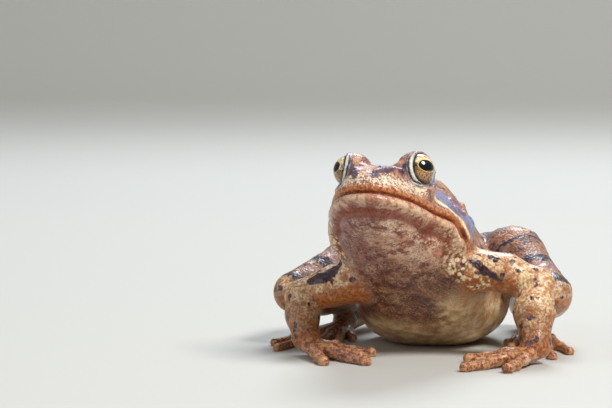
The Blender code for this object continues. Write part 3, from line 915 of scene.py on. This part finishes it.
def shifted(amount, scale):
    """Places pushed about by noise, so that the edges of markings wander."""
    push = p.node("ShaderNodeVectorMath", {"operation": "SUBTRACT"},
                  noise(scale, output=1), (0.5, 0.5, 0.5))
    push = p.node("ShaderNodeVectorMath", {"operation": "SCALE"}, Vector=push, Scale=amount)
    return p.node("ShaderNodeVectorMath", {"operation": "ADD"}, place, push)


def spots_of(scale, at):
    """Distance to the nearest of scattered middles, in units of their spacing."""
    return p.node("ShaderNodeTexVoronoi", None, Vector=at, Scale=scale)


broad, middling, small = noise(0.16), noise(0.55, 3.0), noise(1.7, 3.0)
fine = noise(3.6, distortion=0.5)
swell, drift, ragged, grit = broad - 0.5, middling - 0.5, small - 0.5, fine - 0.5
wander = drift * 2.2 + ragged * 0.9
sideways, level = coordinate(0), coordinate(2)
head, arm, leg, low = layer("head"), layer("arm"), layer("leg"), layer("low")
under = p.step(layer("under") + drift * 0.5, 0.3, 0.75)

# The back and hind legs: tan, with dark blotches that gather into bars on the legs, a
# chevron between the shoulders and a paler fold down each side.
DARK_TAN, TAN, LIGHT_TAN = (150, 106, 82), (202, 156, 122), (222, 184, 146)
MAUVE, UMBER, BLOTCH = (156, 134, 142), (112, 92, 94), (62, 44, 56)
back = p.blend(broad + ragged * 0.35, 0.38, 0.62, DARK_TAN, TAN)
back = p.mix(p.step(middling, 0.50, 0.66) * 0.65, back, LIGHT_TAN)
back = p.mix(p.step(noise(0.30) + leg * 0.10, 0.50, 0.64) * (leg * 0.08 + 0.45), back, MAUVE)
back = p.mix(leg * 0.12 + 0.12, back, UMBER)
blotches = p.fall(spots_of(0.23, shifted(3.2, 0.5)) + ragged * 0.35, 0.30, 0.40)
waves = (layer("along_leg") * 0.92 + wander * 1.1).wave()
bars = p.step(waves + ragged, 0.45, 0.75) * leg
flecks = p.fall(spots_of(0.75, shifted(1.0, 1.2)) + ragged * 0.3, 0.16, 0.26)
chevron = p.fall(layer("chevron") + wander * 0.5, -0.1, 0.35)
dark = (blotches * (1.0 - leg * 0.5)).most(bars).most(flecks * 0.8).most(chevron)
folded = p.fall(layer("back_fold") + wander * 0.25, 0.35, 0.8)
back = p.mix(folded * 0.7, back, (226, 186, 146))
back = p.mix(dark * (1.0 - under) * (1.0 - folded * 0.7), back, BLOTCH)

# The forelegs: sandy above and orange brown below and underneath, with dark flecks.
SAND, PALE_SAND, RUST = (200, 152, 116), (246, 224, 190), (168, 104, 70)
sand = p.blend(small + grit * 0.4, 0.40, 0.60, SAND, PALE_SAND)
rusty = p.step(middling + ragged * 0.6 + under * 0.12, 0.54, 0.66)
sand = p.mix(rusty * 0.75, sand, RUST)
sand = p.mix(p.fall(level + ragged * 4.0, 5.0, 14.0) * 0.60, sand, (130, 84, 54))
sand = p.mix(low * 0.85, sand, p.blend(small, 0.42, 0.60, (126, 66, 40), (200, 130, 86)))
sand = p.mix(under * 0.75, sand, p.blend(small, 0.40, 0.62, (158, 88, 46), (210, 142, 88)))
flecks = p.fall(spots_of(0.48, shifted(1.1, 0.9)) + ragged * 0.35, 0.25, 0.34)
sand = p.mix(flecks * (1.0 - under * 0.8), sand,
             p.blend(small, 0.40, 0.60, (62, 42, 54), (112, 88, 98)))
hide = p.mix(arm, back, sand)
digits = p.blend(small + drift * 0.6, 0.42, 0.58, (142, 92, 70), (212, 166, 130))
digits = p.mix(p.step(fine, 0.56, 0.66) * 0.5, digits, (236, 202, 164))
hide = p.mix(layer("digits") * 0.85, hide, digits)

# The belly is cream, more so on the frog's left; the chest between the arms is a dark red
# brown, partly its colour and partly painted shade under the throat, kept off the frog's left.
CHEST_BROWN_AND_SHADE, CHEST_TAN = (84, 44, 32), (150, 102, 74)
belly = p.blend(middling + grit * 0.4, 0.36, 0.66, (212, 172, 130), (244, 222, 184))
chest = p.blend(middling + ragged * 0.8, 0.30, 0.70, CHEST_BROWN_AND_SHADE, CHEST_TAN)
chest = p.mix(p.step(fine + drift * 0.4, 0.54, 0.64) * 0.4, chest, (226, 196, 162))
chest = p.mix(p.fall(fine + ragged * 0.4, 0.34, 0.44) * 0.6, chest, (78, 38, 30))
left_side = p.step(sideways + drift * 6.0, 2.0, 8.0)
left_side *= p.fall(level + drift * 5.0, 9.0, 14.0)
# The dark chest colour stands partly for painted shade under the throat and between the arms.
chest_and_shade_share = p.step(noise(0.11) + (0.5 - low) * 0.5, 0.35, 0.7) * (1.0 - left_side * 0.9)
belly = p.mix(chest_and_shade_share, belly, chest)
hide = p.mix(under * (1.0 - leg * 0.4) * (1.0 - arm * 0.9), hide, belly)

# The throat: pinkish brown and grained with cream; darker and mauve towards the frog's right,
# partly its colour and partly painted shade of the side away from the key lamp, with fewer
# cream grains there.
throat = p.blend(middling + ragged * 0.6, 0.34, 0.66, (156, 94, 78), (232, 180, 154))
# Darker mauve on the frog's right: partly its colour, partly painted shade.
shaded_right_side = p.fall(sideways + swell * 12.0, -6.0, 2.0)
throat = p.mix(shaded_right_side * 0.75, throat,
               p.blend(small, 0.40, 0.62, (88, 60, 68), (146, 110, 108)))
patches = p.step(broad + drift * 0.5, 0.46, 0.60)
throat = p.mix(patches * (0.6 - shaded_right_side * 0.45), throat, (240, 212, 190))
grain_zone = p.step(noise(0.34, 3.0) - shaded_right_side * 0.08, 0.38, 0.56)
grains = (0.42 - spots_of(1.7, shifted(0.6, 2.2))) * 0.35
cream = p.step(fine + grains + drift * 0.25, 0.47, 0.57) * grain_zone
throat = p.mix(cream * (0.85 - shaded_right_side * 0.4), throat, (252, 240, 218))
throat = p.mix(p.fall(fine + ragged * 0.5, 0.34, 0.44) * 0.5, throat, (124, 66, 54))
above, lips = layer("above_mouth"), layer("lips")
below = p.fall(above + wander * 0.25, -0.25, 0.15)
hide = p.mix(head * below, hide, throat)

# Lips: a thick pale lower lip over a reddish groove, its dark red partly painted shade in the
# crease.
lip = p.step(above + wander * 0.35, -2.7, -1.7) * below * lips
hide = p.mix(lip * 0.75, hide, p.blend(
    middling + ragged * 0.5, 0.38, 0.62, (196, 146, 122), (228, 200, 174)))
groove_and_shade = p.step(above + wander * 0.15, -4.1, -3.2) * p.fall(above + wander * 0.15, -2.9, -2.0)
hide = p.mix(groove_and_shade * lips * 0.7, hide, (142, 66, 44))

# Upper head: tan snout with cream mottling, dark bridle lines, an orange upper lip, the
# cream stripe along it, and the temple: bluish in front and on top, partly its own colour
# and partly painted sky sheen, and darker round the eardrum.
face = p.blend(middling + ragged * 0.6, 0.38, 0.62, (130, 88, 88), (194, 150, 128))
face = p.mix(p.step(fine, 0.52, 0.62) * 0.45, face, (232, 200, 168))
mottle = p.step(fine * 0.6 + small * 0.6 - layer("snout") * 0.06, 0.55, 0.64)
mottle *= p.fall(layer("snout") + wander * 0.5, 0.4, 1.4)
face = p.mix(mottle * 0.95, face, (242, 226, 202))
face = p.mix(p.fall(above + wander * 0.6, 0.5, 1.7) * 0.8, face,
             p.blend(small, 0.40, 0.60, (184, 100, 60), (226, 168, 118)))
bridle = p.fall(layer("canthus").least(layer("brow")) + wander * 0.7, -0.1, 0.35)
face = p.mix(bridle * 0.9, face, (84, 56, 78))
# The temple's blue in front and on top is partly its own colour and partly painted sky sheen; low
# down and round the eardrum it stays a dark mask.
blue_and_sheen_share = p.step(layer("drum") + (above - 3.0) * 0.9 + drift * 5.0 + grit * 3.0, 2.6, 4.6)
temple = p.blend(small, 0.40, 0.60, (70, 48, 56), (112, 84, 96))
blue_and_sky_sheen = p.mix(p.step(fine, 0.42, 0.58) * 0.7, (156, 164, 194), (122, 106, 134))
temple = p.mix(blue_and_sheen_share, temple, blue_and_sky_sheen)
face = p.mix(p.fall(layer("temple") + wander * 0.5, -0.15, 0.35), face, temple)
ring = p.fall(abs(layer("drum") - EARDRUM_RADIUS), 0.25, 0.7)
face = p.mix(ring * 0.55, face, (164, 96, 70))
stripe = p.fall(layer("stripe") + wander * 0.4 + grit * 1.2, -0.15, 0.3)
face = p.mix(stripe, face, p.blend(small, 0.35, 0.60, (222, 200, 170), (250, 240, 216)))
upper = p.step(above, -0.1, 0.2) * head
hide = p.mix(upper, hide, face)
stripe_end = p.fall(layer("stripe") + wander * 0.3, -0.1, 0.25) * (1.0 - upper)
hide = p.mix(stripe_end, hide, (226, 186, 146))

# The line of the mouth, and its corner, dark red in a paler rim.
hide = p.mix(p.fall(abs(above + 0.05), 0.12, 0.45) * lips, hide, (140, 62, 26))
mouth_rim = p.fall(layer("mouth_end") + wander * 0.15, 0.3, 0.9)
hide = p.mix(mouth_rim * (1.0 - stripe) * 0.7, hide, (214, 148, 100))
mouth_end = p.fall(layer("mouth_end") + wander * 0.1, 0.0, 0.3)
hide = p.mix(mouth_end * 0.9, hide, (112, 30, 18))

# Cream specks at the angle of the jaw and on the shoulder, and the streak of the upper arm.
specks = p.fall(spots_of(1.2, shifted(0.6, 1.5)) + drift + grit * 0.5, 0.38, 0.50)
specks *= p.fall(layer("jaw_specks").least(layer("shoulder_specks")) + wander * 0.9, -0.4, 1.2)
hide = p.mix(specks, hide, p.blend(fine, 0.40, 0.60, (226, 196, 156), (252, 238, 208)))
hide = p.mix(p.fall(layer("streak") + wander * 0.5, -0.1, 0.3), hide,
             p.blend(small, 0.40, 0.62, (48, 26, 32), (98, 62, 66)))

# Eyelids: grey skin round the rim, a pale crescent in front of and below the eye, and a
# dark line on either side of it.
lid, front = layer("lid"), layer("lid_front")
hide = p.mix(p.fall(lid, 0.8, 1.3) * 0.6, hide,
             p.blend(small, 0.40, 0.60, (112, 112, 134), (180, 180, 188)))
for distance, strength in ((0.47, 0.9), (0.95, 0.6)):
    line = p.fall(abs(lid - distance + wander * 0.05), 0.05, 0.16)
    hide = p.mix(line * (front * 0.6 + 0.4) * strength, hide, (40, 32, 50))
pale = p.fall(lid - front * 0.08, 0.24, 0.33) * p.step(front, 0.02, 0.3)
hide = p.mix(pale, hide, p.blend(small, 0.35, 0.65, (222, 222, 212), (250, 246, 228)))

hide = p.node("ShaderNodeHueSaturation", None, Saturation=1.12, Color=hide)
hide = p.node("ShaderNodeGamma", None, Color=hide, Gamma=1.12)
grain = (1.0 - spots_of(1.9, place)) * 0.6 + fine * 0.3 + noise(0.9, 3.0) * 0.7
bump = p.node("ShaderNodeBump", None, Strength=0.8, Distance=0.00026, Height=grain)
skin_mesh.materials.append(p.finish(
    Base_Color=hide, Roughness=p.step(small, 0.2, 0.9) * 0.28 + 0.28 - lip * 0.10, Normal=bump,
    Coat_Weight=0.26, Coat_Roughness=0.15, Subsurface_Weight=0.12,
    Subsurface_Radius=(0.0012, 0.0006, 0.0004), Subsurface_Scale=1.0))
flesh = [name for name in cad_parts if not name.startswith("eye_")]
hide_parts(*flesh)
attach(skin, "root")

# --- Eyes ---
# A glassy ball with a raised cornea, set into each socket. The iris is gold above and copper
# below, with a dark band across it on either side of the flattened pupil.
EYE_RINGS, EYE_SPOKES = 48, 64
CORNEA_RISE, CORNEA_SPREAD = 0.14, 0.75
PUPIL_DROP, PUPIL_HALF_WIDTH, PUPIL_HALF_HEIGHT = 0.10, 1.58, 1.04
GOLD, PALE_GOLD, COPPER = (222, 184, 112), (250, 240, 202), (198, 144, 84)
p = Paint("eye")
eye_at = millimetres()
across, up = coordinate(0, eye_at), coordinate(1, eye_at) + PUPIL_DROP
patchy, threads = noise(1.5, 3.0, at=eye_at), noise(5.5, at=eye_at)
gold = p.blend(patchy, 0.38, 0.62, GOLD, PALE_GOLD)
gold = p.mix(p.fall(threads, 0.38, 0.46) * 0.6, gold, (140, 96, 50))
copper = p.blend(threads + (patchy - 0.5) * 0.5, 0.36, 0.62, (54, 34, 26), COPPER)
iris = p.blend(up + (patchy - 0.5) * 0.5, -0.35, 0.15, copper, gold)
band = p.fall(abs(up - 0.05) + (patchy - 0.5) * 0.7, 0.22, 0.55)
iris = p.mix(band * 0.9, iris, (48, 32, 30))
# The iris darkens to near black towards the lids: partly its own dark rim, partly painted shade
# under the lids.
iris = p.blend(layer("from_lids") + (threads - 0.5) * 6.0, 55.0, 64.0, iris, (26, 22, 32))
oval = ((across / PUPIL_HALF_WIDTH) ** 2.0 + (up / PUPIL_HALF_HEIGHT) ** 2.0).root()
iris = p.mix(p.fall(abs(oval - 1.07), 0.02, 0.08) * 0.85, iris, (240, 206, 122))
iris = p.blend(oval, 0.99, 1.05, (6, 6, 10), iris)
eye_material = p.finish(Base_Color=iris, Roughness=0.10, Coat_Weight=1.0, Coat_Roughness=0.02)

profile = [(0.0, (EYE_RADIUS + CORNEA_RISE) * MM)]
for turn in (math.pi * i / EYE_RINGS for i in range(1, EYE_RINGS)):
    r = (EYE_RADIUS + CORNEA_RISE * bell(turn, CORNEA_SPREAD)) * MM
    profile.append((r * math.sin(turn), r * math.cos(turn)))
profile.append((0.0, -EYE_RADIUS * MM))

for side, name in ((LEFT, "left"), (RIGHT, "right")):
    ball = turned("eyeball_" + name, profile, EYE_SPOKES)
    ball.materials.append(eye_material)
    eyeball = placed("eyeball_" + name, ball)

    # The ball's own Z looks out of the head; the layer is the angle from the lids' axis.
    to_world = head_frame.to_3x3()
    look = (to_world @ on_side(LOOK_AXIS, side)).normalized()
    brow_up = to_world @ Vector((0.0, 0.0, 1.0))
    brow_up = (brow_up - brow_up.dot(look) * look).normalized()
    level_across = brow_up.cross(look)
    centre, lids = head_frame @ on_side(EYE, side), to_world @ on_side(LID_AXIS, side)
    lids = Vector((lids.dot(level_across), lids.dot(brow_up), lids.dot(look)))
    from_lids = ball.attributes.new("from_lids", "FLOAT", "POINT")
    from_lids.data.foreach_set("value", [math.degrees(lids.angle(v.co)) for v in ball.vertices])
    eyeball.matrix_world = (Matrix.Translation(centre * MM)
                            @ Matrix((level_across, brow_up, look)).transposed().to_4x4())
    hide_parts("eye_" + name)
    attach(eyeball, "root")
